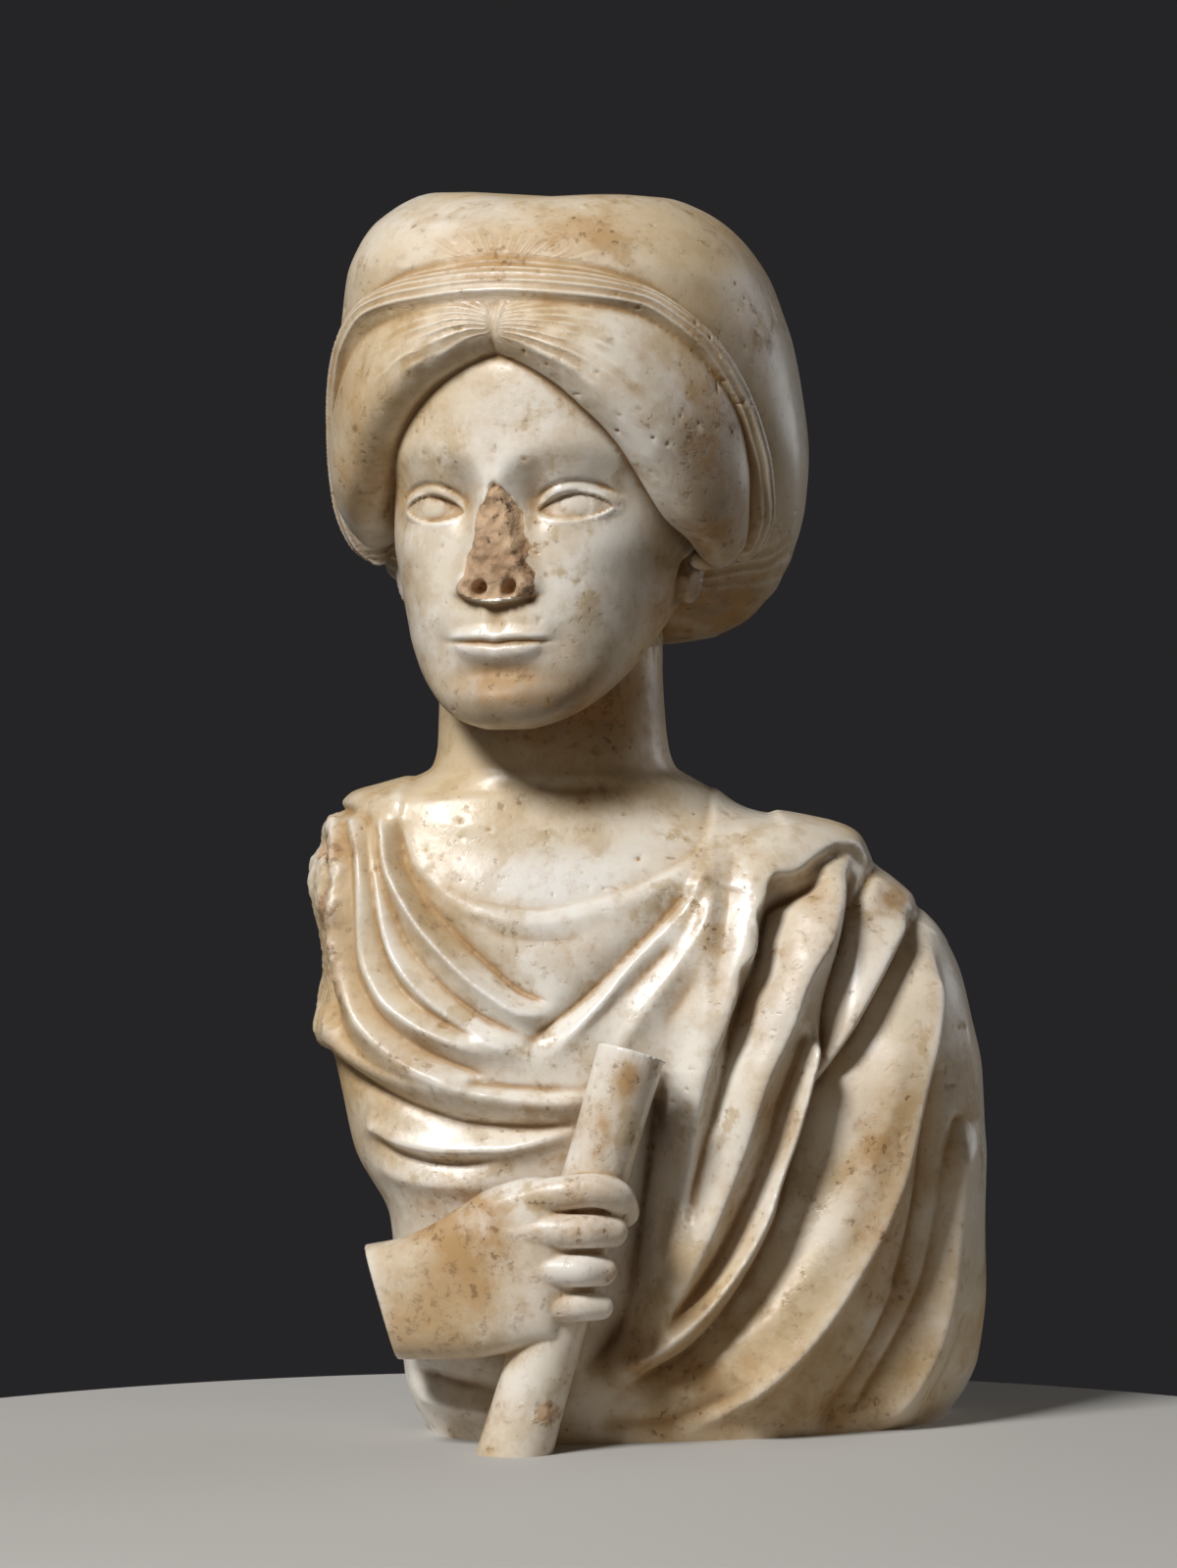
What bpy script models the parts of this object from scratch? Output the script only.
"""A marble bust of a woman with a turban-like headdress of hair, a draped mantle and a scroll in her hand.

The whole work is carved from one block, so it is one solid: the head and neck, the draped trunk, the
forearm and hand, and the scroll are closed forms that grow into each other, fused to one skin of stone
and sawn flat underneath. Tables are in units of 1 mm on a bust 530 mm tall and follow BUST_HEIGHT.
X runs to the bust's left, -Y is the way the chest faces, and the flat underside is at Z = 0.
"""

import math

import bmesh
import bpy
import numpy as np
from mathutils import Matrix, Vector

# Driving dimensions, in metres and degrees
BUST_HEIGHT = 0.530
HEAD_TURN = -17.0
HEAD_LEAN = -1.0
SCROLL_FOOT_RADIUS = 0.0156
SCROLL_TOP_RADIUS = 0.0145
FOREARM_CUT_HALF_HEIGHT = 0.0235
FINGER_RADIUS = 0.0067

# Proportions hang on the height of the bust
DRAWN_HEIGHT = 530.0
UNIT = BUST_HEIGHT / DRAWN_HEIGHT
HEAD_CENTRE = np.array((-38.0, 4.0, 405.0))

# The skin of stone
SKIN_CELL = 2.2 * UNIT
SKIN_TRIANGLES = 9700
MARBLE_COLOUR = (0.78, 0.71, 0.60, 1.0)
MARBLE_ROUGHNESS = 0.35


def curve_through(knots, values, at):
    """Heights at `at` on a smooth curve through the knots. Each piece is a cubic whose end slopes are the
    harmonic mean of the chords on both sides, so that the curve never swings past a value."""
    knots = np.asarray(knots, float)
    values = np.asarray(values, float)
    step = np.diff(knots)
    chord = np.diff(values) / step
    slope = np.concatenate([chord[:1], np.zeros(len(knots) - 2), chord[-1:]])
    same_way = chord[:-1] * chord[1:] > 0
    both = np.where(same_way, chord[:-1] + chord[1:], 1.0)
    slope[1:-1] = np.where(same_way, 2 * chord[:-1] * chord[1:] / both, 0.0)
    piece = np.clip(np.searchsorted(knots, at, side="right") - 1, 0, len(step) - 1)
    t = np.clip((at - knots[piece]) / step[piece], 0.0, 1.0)
    rise = step[piece]
    return (
        (1 + 2 * t) * (1 - t) ** 2 * values[piece]
        + t * (1 - t) ** 2 * rise * slope[piece]
        + t**2 * (3 - 2 * t) * values[piece + 1]
        - t**2 * (1 - t) * rise * slope[piece + 1]
    )


def smooth_path(points, count):
    """`count` places spread evenly by chord along a smooth line through hand-chosen points."""
    points = np.asarray(points, float)
    reach = np.concatenate([[0.0], np.cumsum(np.linalg.norm(np.diff(points, axis=0), axis=1))])
    along = np.linspace(0.0, reach[-1], count)
    return np.stack([curve_through(reach, column, along) for column in points.T], axis=-1)


def blob(across, up, centre, spread):
    """A soft round swelling: the bell curve of the distance from its centre, in spreads."""
    return np.exp(-(((across - centre[0]) / spread[0]) ** 2) - ((up - centre[1]) / spread[1]) ** 2)


def soft_step(value, width):
    """0 well below zero and 1 well above it, with a ramp of about `width`."""
    return 0.5 + 0.5 * np.tanh(value / (0.5 * width))


def rings_of(stations, heights, columns, boxiness, front_share=0.5):
    """Closed level rings of an unlike-section loft, one for each height.

    A station is (height, left x, right x, left y, right y, front y, back y). A ring is a superellipse
    between its left and right ends, bellied to the front and to the back of the line that joins them."""
    table = np.asarray(stations, float).T
    left, right, left_y, right_y, front, back = (
        curve_through(table[0], column, heights)[:, None] for column in table[1:]
    )
    turn = np.linspace(0.0, 1.0, columns, endpoint=False)
    in_front = turn < front_share
    angle = np.where(
        in_front, math.pi * turn / front_share, math.pi * (1 + (turn - front_share) / (1 - front_share))
    )
    power = 2.0 / boxiness
    reach = np.sign(np.cos(angle)) * np.abs(np.cos(angle)) ** power
    belly = np.abs(np.sin(angle)) ** power
    x = (left + right) / 2 + (right - left) / 2 * reach
    chord_y = left_y + (right_y - left_y) * (1 + reach) / 2
    middle_y = (left_y + right_y) / 2
    y = chord_y + np.where(in_front, (front - middle_y) * belly, (back - middle_y) * belly)
    z = np.broadcast_to(heights[:, None], x.shape)
    return np.stack([x, y, z], axis=-1)


def outward(rings):
    """Unit normals of a ring grid, from the cross product of the two directions of its mesh lines."""
    around = np.roll(rings, -1, axis=1) - np.roll(rings, 1, axis=1)
    along = np.gradient(rings, axis=0)
    normal = np.cross(around, along)
    normal /= np.linalg.norm(normal, axis=-1, keepdims=True) + 1e-9
    from_middle = rings - rings.mean(axis=(0, 1))
    return normal * np.sign((normal * from_middle).sum())


# Folds of the mantle and tunic, as seen from the front: height (below 0 is a channel), the width of
# the left and of the right flank, then the places (x, z) that the crest passes from its upper end down.
FOLDS = (
    # the tunic's nested curves over the breast, right shoulder to breastbone
    (-5.5, 5, 4, ((-101, 246), (-86, 226), (-65, 205), (-49, 190), (-36, 185))),
    (5.0, 5, 4, ((-108, 243), (-95, 216), (-74, 192), (-49, 172), (-36, 167))),
    (-3.0, 3, 3, ((-104, 230), (-96, 206), (-80, 185), (-60, 168))),
    (4.5, 5, 4, ((-113, 236), (-107, 211), (-94, 190), (-74, 173), (-52, 161))),
    (-4.5, 3, 3, ((-113, 246), (-110, 215), (-104, 195), (-95, 186))),
    (5.0, 5, 4, ((-119, 244), (-116, 211), (-108, 188), (-92, 178), (-80, 175))),
    (-4.0, 4, 4, ((-120, 228), (-119, 200), (-113, 184), (-100, 171), (-82, 162), (-64, 156))),
    (6.0, 6, 5, ((-128, 249), (-126, 211), (-120, 182), (-107, 169), (-90, 159), (-72, 154))),
    (-4.5, 4, 4, ((-134, 240), (-132, 211), (-128, 182), (-115, 165), (-98, 157), (-74, 151))),
    # the rolled hem under the neckline
    (3.0, 4, 3, ((-106, 252), (-98, 235), (-73, 223), (-46, 219), (-16, 225), (9, 235), (25, 249))),
    # the right half of the neck folds, left shoulder to breastbone
    (-6.0, 4, 4, ((26, 238), (13, 224), (-3, 209), (-24, 185), (-40, 168), (-51, 160))),
    (5.0, 4, 5, ((28, 230), (14, 213), (-6, 193), (-22, 176), (-38, 162))),
    (-3.0, 3, 3, ((27, 216), (17, 200), (1, 184), (-14, 170))),
    (3.5, 4, 4, ((29, 207), (20, 191), (6, 175), (-6, 163))),
    # the sling of cloth under the right arm
    (6.5, 9, 5, ((-142, 183), (-124, 164), (-98, 153), (-66, 147), (-40, 144), (-18, 144))),
    (-3.0, 3, 2, ((-66, 150), (-45, 149), (-20, 149))),
    (-5.0, 4, 4, ((-137, 164), (-120, 151), (-96, 141), (-66, 134), (-40, 130), (-20, 131))),
    (5.0, 4, 4, ((-119, 136), (-108, 126), (-86, 121), (-60, 122), (-40, 127), (-26, 131))),
    (-3.0, 3, 3, ((-114, 135), (-100, 130), (-80, 127), (-55, 128))),
    (-2.0, 4, 4, ((-112, 116), (-86, 113), (-60, 115))),
    # the upright hem at the edge of the mantle
    (4.5, 5, 4, ((32, 277), (29, 244), (26, 215), (23, 187), (20, 154), (17, 120), (13, 87),
        (3, 58), (-8, 42))),
    (-2.5, 3, 3, ((36, 262), (34, 230), (31, 200), (28, 170), (25, 140))),
    (3.0, 3, 3, ((40, 258), (38, 230), (35, 200), (32, 175), (29, 150), (27, 120))),
    (6.0, 7, 2, ((55, 262), (49, 248), (46, 224), (42, 199), (35, 178), (28, 158), (24, 137), (21, 112))),
    (-11.0, 5, 9, ((58, 240), (54, 216), (47, 191), (38, 168), (32, 141), (27, 112))),
    # broad folds that fall from the left shoulder
    (9.0, 9, 8, ((79, 246), (74, 224), (66, 199), (56, 174), (47, 145), (37, 112), (26, 79),
        (14, 56), (-2, 40))),
    (-7.0, 3, 3, ((85, 240), (84, 211), (80, 187), (74, 162), (68, 141))),
    (-5.0, 5, 5, ((63, 162), (57, 133), (48, 104), (34, 75), (17, 52), (1, 38))),
    (7.0, 6, 5, ((73, 170), (68, 137), (60, 108), (45, 79), (26, 54), (9, 36), (-8, 29), (-24, 25))),
    (6.0, 6, 6, ((103, 238), (96, 211), (87, 187), (79, 166), (73, 147))),
    (-8.0, 4, 7, ((116, 219), (104, 193), (91, 170), (80, 149), (73, 133), (68, 108), (57, 81),
        (40, 58), (19, 40))),
    (-5.0, 5, 5, ((40, 58), (19, 40), (-1, 27), (-24, 17))),
    (3.5, 10, 10, ((110, 178), (102, 145), (92, 112), (77, 83), (57, 56), (32, 36), (5, 17))),
    (-3.0, 4, 4, ((114, 165), (109, 135), (102, 108), (90, 80), (73, 55), (52, 33), (28, 14))),
    (7.0, 7, 5, ((123, 209), (121, 170), (117, 137), (111, 110), (99, 83), (83, 58), (62, 36),
        (40, 19), (17, 4))),
    (-7.0, 4, 6, ((128, 182), (126, 149), (122, 120), (116, 94), (103, 67), (87, 44), (65, 23), (44, 9))),
    (6.0, 4, 4, ((133, 140), (129, 112), (125, 79), (118, 52), (107, 30), (98, 13))),
    (-4.0, 3, 3, ((131, 148), (127, 118), (122, 88), (114, 60), (103, 38), (92, 18))),
    (4.0, 4, 4, ((94, 54), (84, 36), (73, 17), (65, 4))),
    (-3.5, 4, 4, ((136, 150), (136, 110), (132, 70), (123, 40))),
    # the turned-back cloth on top of the left shoulder
    (7.0, 8, 6, ((46, 252), (60, 257), (74, 257), (87, 251), (97, 243))),
    # cloth under the forearm and along the foot
    (3.5, 4, 4, ((-104, 17), (-80, 15), (-58, 12))),
    (-3.0, 4, 4, ((-104, 25), (-80, 24), (-58, 23))),
    (-2.5, 4, 4, ((-22, 8), (5, 8), (26, 14), (45, 26))),
)
# The deep hollow between the scroll and the hem
POCKET = (-13.0, 8, 6, ((10, 156), (6, 120), (1, 87), (-5, 54), (-14, 36), (-26, 29)))
FOLD_SHARPNESS = 1.7
PATH_STEP = 3.0

# Where the tunic ends on the skin of the chest, left shoulder over the breastbone to the right one
NECKLINE = (
    (-99, 290), (-105, 262), (-96, 240), (-73, 228), (-46, 224), (-16, 230), (9, 240), (27, 255), (33, 290),
)
CLOTH_THICKNESS = 3.4


def beside(path, x, z):
    """Signed distance from each place (x, z) to a path, positive on the right of the way down it, and
    the share of the path's length at the nearest place."""
    best = np.full(x.shape, 1e9)
    signed = np.zeros(x.shape)
    share = np.zeros(x.shape)
    starts = path[:-1]
    runs = np.diff(path, axis=0)
    lengths = np.maximum(np.linalg.norm(runs, axis=1), 1e-6)
    before = np.concatenate([[0.0], np.cumsum(lengths)])
    for start, run, length, so_far in zip(starts, runs, lengths, before):
        t = np.clip(((x - start[0]) * run[0] + (z - start[1]) * run[1]) / length**2, 0.0, 1.0)
        away_x = x - start[0] - t * run[0]
        away_z = z - start[1] - t * run[1]
        distance = np.hypot(away_x, away_z)
        nearer = distance < best
        side = np.sign(run[0] * away_z - run[1] * away_x)
        best = np.where(nearer, distance, best)
        signed = np.where(nearer, side * distance, signed)
        share = np.where(nearer, (so_far + t * length) / before[-1], share)
    return signed, share


def fold_relief(x, z):
    """Height of the cloth's relief at places of the front view: the sum of all folds, each a crest or a
    channel that dies away on its two flanks and rises and fades at its two ends."""
    relief = np.zeros(x.shape)
    for height, left, right, points in (*FOLDS, POCKET):
        line = np.asarray(points, float)
        reach = 3.0 * max(left, right)
        low = line.min(axis=0) - reach
        high = line.max(axis=0) + reach
        near = (x > low[0]) & (x < high[0]) & (z > low[1]) & (z < high[1])
        if not near.any():
            continue
        length = np.linalg.norm(np.diff(line, axis=0), axis=1).sum()
        path = smooth_path(line, int(length / PATH_STEP) + 2)
        signed, share = beside(path, x[near], z[near])
        flank = np.where(signed < 0, left, right)
        ends = soft_step(share - 0.06, 0.12) * soft_step(0.94 - share, 0.12)
        relief[near] += height * ends * np.exp(-np.abs(signed / flank) ** FOLD_SHARPNESS)
    return relief


# The trunk and neck: height, left x, right x, left y, right y, front y, back y
BODY_STATIONS = (
    (-8, -90, 131, -20, 34, -63, 30),
    (0, -92, 133, -20, 34, -64, 31),
    (12, -99, 138, -19, 34, -66, 34),
    (25, -103, 142, -18, 32, -67, 38),
    (55, -106, 145, -16, 28, -68, 43),
    (90, -109, 146, -14, 26, -69, 47),
    (120, -124, 147, -14, 24, -71, 50),
    (150, -131, 146, -12, 22, -73, 53),
    (175, -143, 142, -10, 20, -73, 55),
    (195, -141, 137, -8, 18, -71, 57),
    (212, -141, 129, -6, 17, -68, 58),
    (224, -144, 119, -4, 16, -65, 58),
    (234, -145, 108, -2, 15, -62, 57),
    (242, -144, 98, 0, 14, -59, 56),
    (249, -141, 88, 2, 14, -56, 55),
    (255, -137, 74, 3, 13, -54, 55),
    (261, -132, 56, 4, 12, -52, 54),
    (267, -131, 40, 5, 11, -49, 53),
    (272, -126, 31, 5, 10, -47, 52),
    (276, -112, 25, 5, 9, -45, 51),
    (280, -97, 18, 6, 9, -44, 51),
    (284, -89, 11, 6, 8, -42, 50),
    (292, -87, 8, 6, 8, -40, 49),
    (306, -87, 7, 6, 8, -38, 49),
    (325, -86, 6, 6, 8, -37, 48),
    (360, -82, 6, 6, 8, -36, 46),
)
BODY_BOXINESS = 2.35
# Folds fade out on the back, from one depth to another
FOLD_FADE = (14.0, 44.0)


def trunk(columns, row_step):
    """Rings of the draped trunk and the neck, with the folds and the neckline raised on them."""
    heights = np.arange(BODY_STATIONS[0][0], BODY_STATIONS[-1][0] + row_step / 2, row_step)
    rings = rings_of(BODY_STATIONS, heights, columns, BODY_BOXINESS, front_share=0.6)
    normal = outward(rings)
    x, y, z = rings[..., 0], rings[..., 1], rings[..., 2]
    fade = 1 - soft_step(y - sum(FOLD_FADE) / 2, FOLD_FADE[1] - FOLD_FADE[0])
    relief = fold_relief(x, z) * fade
    above, _ = beside(smooth_path(NECKLINE, 60), x, z)
    skin = soft_step(above - 0.5, 2.0) * fade
    skin = np.maximum(skin, soft_step(z - 285, 6.0))
    relief = relief * (1 - skin) - CLOTH_THICKNESS * skin
    return rings + normal * relief[..., None]


# The skull and face, about the middle of the head: height, left x, right x, left y, right y, front y, back y
HEAD_STATIONS = (
    (-104, -10, 10, -71, -71, -80, -62),
    (-101, -20, 20, -68, -68, -85, -50),
    (-96, -29, 29, -62, -62, -88, -38),
    (-90, -36, 36, -54, -54, -89, -28),
    (-82, -43, 43, -46, -46, -87, -16),
    (-74, -48, 48, -38, -38, -87, -6),
    (-66, -52, 52, -30, -30, -89, 6),
    (-58, -55, 55, -22, -22, -90, 20),
    (-50, -58, 58, -16, -16, -89, 35),
    (-38, -61, 61, -12, -12, -87, 50),
    (-25, -64, 64, -8, -8, -86, 62),
    (-12, -65, 65, -5, -5, -86, 72),
    (0, -66, 66, -2, -2, -88, 80),
    (12, -68, 68, 0, 0, -89, 85),
    (28, -70, 70, 2, 2, -88, 88),
    (45, -70, 70, 4, 4, -84, 89),
    (60, -68, 68, 6, 6, -77, 86),
    (75, -62, 62, 8, 8, -66, 78),
    (88, -50, 50, 8, 8, -50, 62),
    (96, -34, 34, 8, 8, -32, 42),
    (100, -12, 12, 8, 8, -10, 20),
)
HEAD_BOXINESS = 2.25
BROW_LEVEL = 4.0
EYE_PLACE = (31.0, -11.0)
EYE_BALL_RADIUS = 14.5
EYE_FRONT = 75.0
EYE_HALF_WIDTH = 14.5
UPPER_LID = 6.4
LOWER_LID = 4.6
LID_THICKNESS = 1.9
NOSE_BASE = -50.0
MOUTH_LEVEL = -67.0
BREAK_PLANE = (86.0, 93.5)


def eye_relief(side, up, depth):
    """The depth of the face with a lidded eye set in it. The ball is a sphere, and the lids are a wider
    sphere cut by an almond: the curve (1 - t^2) above and below the line of its two corners."""
    from_middle = np.hypot(side - EYE_PLACE[0], up - EYE_PLACE[1])
    inside = np.maximum(EYE_BALL_RADIUS**2 - from_middle**2, 0.0)
    ball = EYE_FRONT - EYE_BALL_RADIUS + np.sqrt(inside)
    along = np.clip((side - EYE_PLACE[0]) / EYE_HALF_WIDTH, -1.0, 1.0)
    corner_line = EYE_PLACE[1] + 0.9 * along
    arch = (1 - along**2) ** 0.8
    opening = np.minimum(corner_line + UPPER_LID * arch - up, up - corner_line + LOWER_LID * arch)
    open_eye = soft_step(opening, 0.9)
    lid_sphere = np.maximum((EYE_BALL_RADIUS + 5.0) ** 2 - from_middle**2, 0.0)
    lid = EYE_FRONT + LID_THICKNESS - EYE_BALL_RADIUS - 5.0 + np.sqrt(lid_sphere)
    near_lid = soft_step(13.0 - from_middle, 9.0) * soft_step(opening + 5.0, 4.0)
    lidded = depth + (np.maximum(lid, depth) - depth) * near_lid
    return lidded * (1 - open_eye) + ball * open_eye


def face_depth(across, up, depth):
    """Forward depth of the carved face at a place of its front view, from the plain depth of the skull.
    Each feature is a soft swelling or hollow; the nose is a ridge struck off along a slanting plane."""
    side = np.abs(across)
    arch = np.sin(np.clip((side - 8) / 44, 0, 1) * math.pi)
    brow_line = BROW_LEVEL + 5.5 * arch - 0.1 * np.maximum(side - 40, 0)
    brow_reach = soft_step(54 - side, 10) * soft_step(side - 4, 6)
    depth = depth + 2.2 * np.exp(-(((up - brow_line) / 5.0) ** 2)) * brow_reach
    depth = depth - 8.0 * blob(side, up, (16, -8), (8, 9)) - 5.0 * blob(side, up, (36, -6), (16, 8))
    depth = depth + 3.0 * blob(side, up, (43, -27), (15, 11)) + 2.5 * blob(side, up, (34, -50), (17, 15))
    depth = eye_relief(side, up, depth)
    down_nose = np.clip((-4 - up) / 40.0, 0.0, 1.0)
    nose_end = soft_step(up - NOSE_BASE, 3.0)
    ridge_width = 6.0 + 5.5 * down_nose
    nose = (4.0 + 20.0 * down_nose) * np.exp(-((side / ridge_width) ** 2)) * nose_end * soft_step(-up, 10)
    wings = 7.0 * blob(side, up, (12.5, -44), (4.5, 5.0)) * nose_end
    plane = BREAK_PLANE[0] + (BREAK_PLANE[1] - BREAK_PLANE[0]) * down_nose
    whole = depth + nose + wings
    depth = np.where(nose + wings > 0.5, np.minimum(whole, np.maximum(plane, depth)), whole)
    mouth_line = MOUTH_LEVEL + 0.0016 * side**2 - 0.8 * np.exp(-((side / 3.5) ** 2))
    lip_reach = soft_step(23 - side, 9)
    depth = depth + 3.6 * np.exp(-(((up - mouth_line - 3.6) / 2.9) ** 2)) * lip_reach
    depth = depth + 4.2 * np.exp(-(((up - mouth_line + 4.6) / 3.6) ** 2)) * soft_step(18 - side, 10)
    depth = depth - 2.6 * np.exp(-(((up - mouth_line) / 1.0) ** 2)) * soft_step(25 - side, 5)
    depth = depth - 1.2 * blob(side, up, (0, -57), (3.0, 4.5)) - 2.0 * blob(side, up, (26, -67), (4, 5))
    depth = depth - 2.8 * blob(side, up, (0, -80), (15, 4)) + 3.5 * blob(side, up, (0, -91), (14, 8))
    return depth


def to_world(points):
    """Turns and leans head places about the middle of the head and sets them on the neck."""
    turn = Matrix.Rotation(math.radians(HEAD_TURN), 3, "Z") @ Matrix.Rotation(math.radians(HEAD_LEAN), 3, "Y")
    return points @ np.array(turn).T + HEAD_CENTRE


def head(columns, row_step):
    """Rings of the skull, with the face pushed forward on their front."""
    heights = np.arange(HEAD_STATIONS[0][0], HEAD_STATIONS[-1][0] + row_step / 2, row_step)
    rings = rings_of(HEAD_STATIONS, heights, columns, HEAD_BOXINESS, front_share=0.65)
    across, forward, up = rings[..., 0], -rings[..., 1], rings[..., 2]
    face = soft_step(forward - 34, 16)
    carved = face_depth(across, up, forward)
    rings = rings.copy()
    rings[..., 1] = -(forward + (carved - forward) * face)
    return to_world(rings)


# The cap of wound hair behind the roll, in the same order as the head's stations
CAP_STATIONS = (
    (-70, -28, 38, 46, 46, 30, 62),
    (-67, -46, 58, 44, 44, 15, 78),
    (-58, -62, 74, 40, 40, 0, 88),
    (-49, -74, 84, 34, 34, -12, 96),
    (-36, -85, 93, 28, 28, -20, 101),
    (-10, -94, 102, 22, 22, -30, 104),
    (15, -97, 105, 16, 16, -42, 104),
    (40, -96, 103, 12, 12, -60, 103),
    (60, -95, 100, 10, 10, -75, 101),
    (75, -92, 96, 8, 8, -82, 98),
    (88, -89, 92, 6, 6, -83, 94),
    (99, -84, 86, 5, 5, -79, 88),
    (108, -78, 79, 4, 4, -71, 80),
    (115, -70, 71, 3, 3, -60, 69),
    (120, -62, 62, 2, 2, -50, 57),
    (123.5, -52, 52, 0, 0, -38, 42),
    (125.3, -24, 26, 0, 0, -15, 18),
)
CAP_BOXINESS = 2.15
CAP_DIP = 4.0


def cap(columns, row_step):
    """Rings of the wound hair, with a shallow saddle pressed in its top."""
    heights = np.arange(CAP_STATIONS[0][0], CAP_STATIONS[-1][0] + row_step / 2, row_step)
    rings = rings_of(CAP_STATIONS, heights, columns, CAP_BOXINESS)
    dip = CAP_DIP * np.exp(-((rings[..., 0] / 26) ** 2)) * soft_step(rings[..., 2] - 95, 25)
    rings = rings.copy()
    rings[..., 2] -= dip
    return to_world(rings)


# The roll over the brow: bearing from straight ahead in degrees, distance out, height, half width and
# half thickness
ROLL_STATIONS = (
    (-80, 74, -34, 6, 6),
    (-74, 78, -26, 14, 11),
    (-67, 82, -10, 20, 14),
    (-58, 84, 10, 23, 15),
    (-47, 84, 31, 23, 15),
    (-35, 83, 47, 21, 14.5),
    (-23, 82, 58, 18.5, 14),
    (-12, 81, 64.5, 16, 13.5),
    (-4, 80, 67, 14.5, 12.5),
    (0, 79.5, 67.5, 14, 11.5),
    (4, 80, 67, 14.5, 12.5),
    (12, 81, 64.5, 16, 13.5),
    (24, 83, 58, 20, 15),
    (38, 86, 45, 24, 16),
    (52, 88, 23, 25, 16),
    (63, 87, -3, 22, 15),
    (71, 84, -24, 16, 13),
    (77, 80, -40, 10, 9),
    (81, 76, -48, 5, 5),
)
# The band of fine plaits behind the roll, in the same order
BAND_STATIONS = (
    (-88, 78, -42, 4, 4),
    (-84, 83, -30, 6, 10),
    (-80, 86, -12, 7, 13),
    (-75, 87, 10, 7, 13),
    (-67, 87, 34, 7, 13),
    (-56, 87, 55, 6.5, 13),
    (-41, 86, 71, 6, 13),
    (-22, 83, 80, 5.5, 13),
    (0, 80, 83.5, 5, 13),
    (22, 83, 80, 5.5, 13),
    (41, 87, 71, 6, 13),
    (57, 91, 54, 6.5, 13),
    (69, 92, 32, 7, 13),
    (78, 92, 8, 7, 13),
    (83, 90, -16, 7, 13),
    (87, 84, -38, 6, 10),
    (90, 78, -52, 4, 4),
)


def strap(stations, rows, columns):
    """Rings of a band that lies round the head: an ellipse carried along a curve, its width along the
    surface and its thickness out from the middle of the head."""
    table = np.asarray(stations, float)
    bearing, out, up, width, thickness = smooth_path_by(table[:, 0], table, rows)
    angle = np.radians(bearing)
    line = np.stack([out * np.sin(angle), -out * np.cos(angle), up], axis=-1)
    along = np.gradient(line, axis=0)
    along /= np.linalg.norm(along, axis=1, keepdims=True)
    outwards = line / np.linalg.norm(line, axis=1, keepdims=True)
    outwards -= along * (outwards * along).sum(axis=1, keepdims=True)
    outwards /= np.linalg.norm(outwards, axis=1, keepdims=True)
    across = np.cross(along, outwards)
    turn = np.linspace(0.0, 2 * math.pi, columns, endpoint=False)
    rings = (
        line[:, None]
        + across[:, None] * (width[:, None] * np.cos(turn))[..., None]
        + outwards[:, None] * (thickness[:, None] * np.sin(turn))[..., None]
    )
    return to_world(rings)


def smooth_path_by(knots, table, rows):
    """The columns of a station table on a smooth curve, at `rows` even steps of its first column."""
    at = np.linspace(knots[0], knots[-1], rows)
    return [curve_through(knots, column, at) for column in table.T]


EAR_PLACE = (67.0, -4.0, -30.0)
EAR_SIZE = (5.5, 10.0, 22.0)

# The forearm and the back of the hand: centre x, y, z, half height, half thickness
FOREARM_STATIONS = (
    (-113, -72, 57, 1.0, 19),
    (-97, -80, 60, 1.08, 19),
    (-77, -87, 67, 1.26, 18),
    (-58, -92, 75, 1.42, 15.5),
    (-45, -95, 81, 1.46, 12.5),
    (-30, -94, 84, 1.3, 11),
)
# Finger centre lines from the knuckle to the tip, and each finger's thickness as a share of the usual
FINGERS = (
    (
        "index", 0.98,
        (
            (-58, -98, 105), (-42, -107, 112), (-28, -111, 115.5), (-14, -109, 115.5), (-7, -103, 110),
            (-5, -97, 103),
        ),
    ),
    ("middle", 1.02, ((-58, -100, 91), (-42, -110, 93), (-28, -113, 94), (-13, -107, 94))),
    ("ring", 1.02, ((-58, -99, 76), (-42, -109, 77), (-30, -112, 77.5), (-18, -107, 77.5))),
    ("little", 0.88, ((-58, -97, 60), (-44, -106, 60.5), (-30, -109, 61.5), (-19, -105, 62.5))),
)
SCROLL_FOOT = (-56.5, -98.0, -6.0)
SCROLL_TOP = (-6.5, -93.0, 166.0)
WEB_STATIONS = ((-44, -74, 22), (-30, -72, 70), (-18, -70, 118), (-10, -70, 152))


def tube(points, half_widths, half_depths, columns, width_way):
    """Rings of a limb: ellipses square to a smooth line, their widths laid along `width_way`."""
    line = np.asarray(points, float)
    along = np.gradient(line, axis=0)
    along /= np.linalg.norm(along, axis=1, keepdims=True)
    depth_way = np.cross(along, width_way)
    depth_way /= np.linalg.norm(depth_way, axis=1, keepdims=True)
    wide = np.cross(depth_way, along)
    turn = np.linspace(0.0, 2 * math.pi, columns, endpoint=False)
    return (
        line[:, None]
        + wide[:, None] * (half_widths[:, None] * np.cos(turn))[..., None]
        + depth_way[:, None] * (half_depths[:, None] * np.sin(turn))[..., None]
    )


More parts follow.
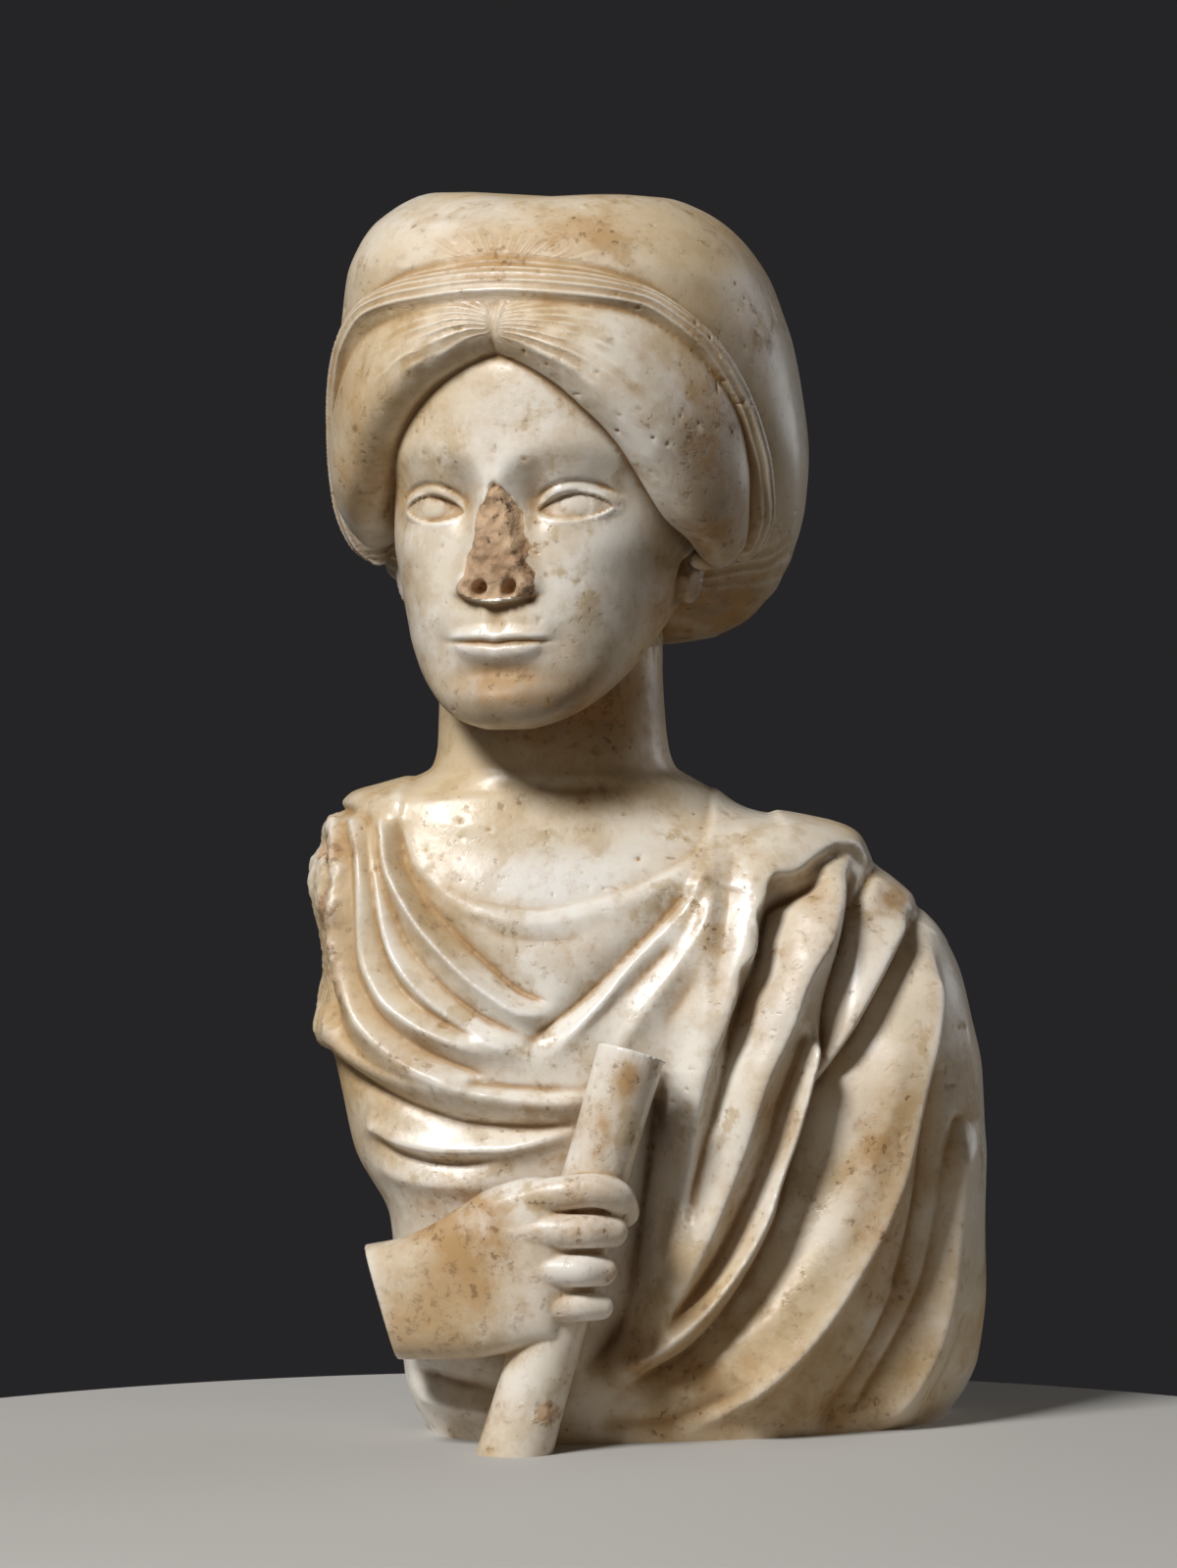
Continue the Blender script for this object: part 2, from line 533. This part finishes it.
def lofted(name, rings):
    """A closed mesh object through rings of places, with a fan of faces over each end."""
    rows, columns = rings.shape[:2]
    form = bmesh.new()
    places = [form.verts.new(Vector(p) * UNIT) for p in rings.reshape(-1, 3)]
    ends = [form.verts.new(Vector(rings[i].mean(axis=0)) * UNIT) for i in (0, -1)]
    for row in range(rows - 1):
        for column in range(columns):
            after = (column + 1) % columns
            low, high = row * columns, (row + 1) * columns
            corners = (low + column, low + after, high + after, high + column)
            form.faces.new([places[corner] for corner in corners])
    for column in range(columns):
        after = (column + 1) % columns
        last = (rows - 1) * columns
        form.faces.new((ends[0], places[after], places[column]))
        form.faces.new((ends[1], places[last + column], places[last + after]))
    bmesh.ops.recalc_face_normals(form, faces=form.faces)
    return linked(name, form)


def linked(name, form):
    """The bmesh as a named object in the bust's collection."""
    mesh = bpy.data.meshes.new(name)
    form.to_mesh(mesh)
    form.free()
    piece = bpy.data.objects.new(name, mesh)
    collection_named("bust").objects.link(piece)
    return piece


def collection_named(name):
    """The scene's collection of that name, made the first time that it is asked for."""
    found = bpy.data.collections.get(name)
    if found is None:
        found = bpy.data.collections.new(name)
        bpy.context.scene.collection.children.link(found)
    return found


def rounded_limb(name, points, radii, columns, steps):
    """A limb of round section along a smooth line, with half-ball ends made by rings that close in."""
    line = smooth_path(points, steps)
    start_way = (line[0] - line[1]) / np.linalg.norm(line[0] - line[1])
    end_way = (line[-1] - line[-2]) / np.linalg.norm(line[-1] - line[-2])
    radius = np.linspace(radii[0], radii[1], steps)
    lean = np.radians((75.0, 50.0, 25.0))
    start = [line[0] + start_way * radius[0] * math.sin(a) for a in lean]
    end = [line[-1] + end_way * radius[-1] * math.sin(a) for a in lean[::-1]]
    full = np.concatenate([start, line, end])
    size = np.concatenate([radius[0] * np.cos(lean), radius, radius[-1] * np.cos(lean[::-1])])
    return lofted(name, tube(full, size, size, columns, np.array((0.0, 0.0, 1.0))))


def scroll():
    """The rolled scroll: a cone trunk from its foot, below the ground line, up to its cut top."""
    foot, top = (Vector(p) * UNIT for p in (SCROLL_FOOT, SCROLL_TOP))
    form = bmesh.new()
    bmesh.ops.create_cone(
        form, cap_ends=True, segments=28, radius1=SCROLL_FOOT_RADIUS, radius2=SCROLL_TOP_RADIUS,
        depth=(top - foot).length,
    )
    lean = (top - foot).to_track_quat("Z", "Y").to_matrix().to_4x4()
    bmesh.ops.transform(form, matrix=Matrix.Translation((foot + top) / 2) @ lean, verts=form.verts)
    return linked("scroll", form)


def ear(side):
    """A flattened ball for the lower ear that shows under the roll, on one side of the head."""
    form = bmesh.new()
    bmesh.ops.create_uvsphere(form, u_segments=20, v_segments=12, radius=1.0)
    for vertex in form.verts:
        local = np.array(vertex.co) * EAR_SIZE + np.array(EAR_PLACE) * (side, 1, 1)
        vertex.co = Vector(to_world(local)) * UNIT
    return linked("ear", form)


def forms():
    """Every closed form of the figure, overlapping its neighbours so that they fuse."""
    arm = np.asarray(FOREARM_STATIONS, float)
    line = smooth_path(arm[:, :3], 14)
    share = np.linspace(0.0, 1.0, 14)
    knots = np.linspace(0.0, 1.0, len(arm))
    half_height = curve_through(knots, arm[:, 3], share) * FOREARM_CUT_HALF_HEIGHT / UNIT
    half_depth = curve_through(knots, arm[:, 4], share)
    web = smooth_path(WEB_STATIONS, 8)
    web_width, web_depth = np.full(8, 9.0), np.full(8, 20.0)
    finger = FINGER_RADIUS / UNIT
    return [
        lofted("trunk", trunk(200, 2.4)),
        lofted("head", head(150, 2.2)),
        lofted("cap", cap(80, 3.0)),
        lofted("roll", strap(ROLL_STATIONS, 90, 28)),
        lofted("band", strap(BAND_STATIONS, 70, 14)),
        lofted("forearm", tube(line, half_height, half_depth, 36, np.array((0.0, 0.0, 1.0)))),
        lofted("web", tube(web, web_width, web_depth, 20, np.array((1.0, 0.0, 0.0)))),
        scroll(),
        ear(-1),
        ear(1),
        *(
            rounded_limb(name, points, (finger * share_of, 0.9 * finger * share_of), 16, 12)
            for name, share_of, points in FINGERS
        ),
    ]


def marble():
    """Warm, polished marble."""
    material = bpy.data.materials.new("marble")
    material.use_nodes = True
    shader = material.node_tree.nodes["Principled BSDF"]
    shader.inputs["Base Color"].default_value = MARBLE_COLOUR
    shader.inputs["Roughness"].default_value = MARBLE_ROUGHNESS
    shader.inputs["Metallic"].default_value = 0.0
    return material


def fused(pieces):
    """All the closed forms as one skin of stone, thinned to few triangles and sawn flat at Z = 0."""
    whole = bmesh.new()
    for piece in pieces:
        whole.from_mesh(piece.data)
        bpy.data.objects.remove(piece)
    stone = linked("marble_bust", whole)
    stone.data.materials.append(marble())

    skin = stone.modifiers.new("one skin", "REMESH")
    skin.mode = "VOXEL"
    skin.voxel_size = SKIN_CELL
    skin.use_smooth_shade = True
    ease = stone.modifiers.new("eased", "SMOOTH")
    ease.factor = 0.5
    ease.iterations = 2
    graph = bpy.context.evaluated_depsgraph_get()
    full = stone.evaluated_get(graph).to_mesh()
    full.calc_loop_triangles()
    thin = stone.modifiers.new("thinned", "DECIMATE")
    thin.ratio = SKIN_TRIANGLES / len(full.loop_triangles)

    saw = bmesh.new()
    bmesh.ops.create_cube(saw, size=1.0)
    width = 2 * BUST_HEIGHT
    bmesh.ops.transform(
        saw, matrix=Matrix.Translation((0, 0, -width / 2)) @ Matrix.Scale(width, 4), verts=saw.verts
    )
    cutter = linked("ground_cut", saw)
    collection_named("bust").objects.unlink(cutter)
    collection_named("cutters").objects.link(cutter)
    cutter.hide_render = True
    cutter.display_type = "WIRE"
    cut = stone.modifiers.new("sawn flat", "BOOLEAN")
    cut.operation = "DIFFERENCE"
    cut.object = cutter
    return stone


for old in list(bpy.data.objects):
    bpy.data.objects.remove(old)
fused(forms())
